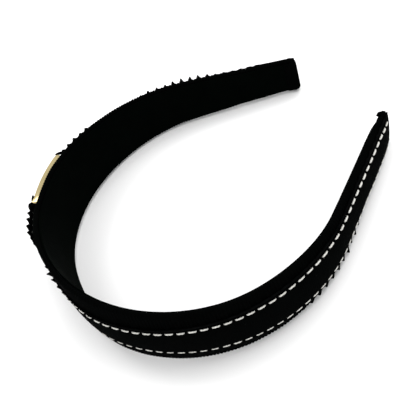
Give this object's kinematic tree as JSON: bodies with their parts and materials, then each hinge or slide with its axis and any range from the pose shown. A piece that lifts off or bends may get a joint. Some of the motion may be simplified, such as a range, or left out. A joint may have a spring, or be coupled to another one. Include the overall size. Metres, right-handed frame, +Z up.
{
  "type": "wide fabric headband with flat bow",
  "caption": "Wide padded headband in black ribbed cloth, with saddle-stitched ribbon, picot edges and a flat bow held by a metal clamp plate.",
  "frame": {"origin": "bottom centre of the whole band as it lies on its side edge", "axes": "+Z up, across the band's width; +X from the crown to the open ends; +Y towards the arm that carries the bow"},
  "size_m": [0.1504, 0.136, 0.0387],
  "materials": {
    "spring_plastic": "matt black flexible strip",
    "sponge": "dark open sponge",
    "ribbed_cloth": "black grosgrain, ribs across the width",
    "lining_cloth": "smooth black satin",
    "ribbon_cloth": "black ribbon",
    "picot_yarn": "black picot edging",
    "white_thread": "off-white saddle stitch thread",
    "pale_gold": "polished pale gold",
    "dried_glue": "dull dried glue"
  },
  "bodies": {
    "root": {"core_band": "spring_plastic", "sponge_pad": "sponge", "outer_cover": "ribbed_cloth", "inner_lining": "lining_cloth", "centre_ribbon": "ribbon_cloth", "upper_picot_trim": "picot_yarn", "lower_picot_trim": "picot_yarn", "upper_stitches": "white_thread", "lower_stitches": "white_thread", "bow_ribbon": "ribbon_cloth", "bow_upper_stitches": "white_thread", "bow_lower_stitches": "white_thread", "clamp_plate": "pale_gold", "bow_glue_pad": "dried_glue", "left_end_tab": "ribbed_cloth", "right_end_tab": "ribbed_cloth"}
  },
  "joints": []
}
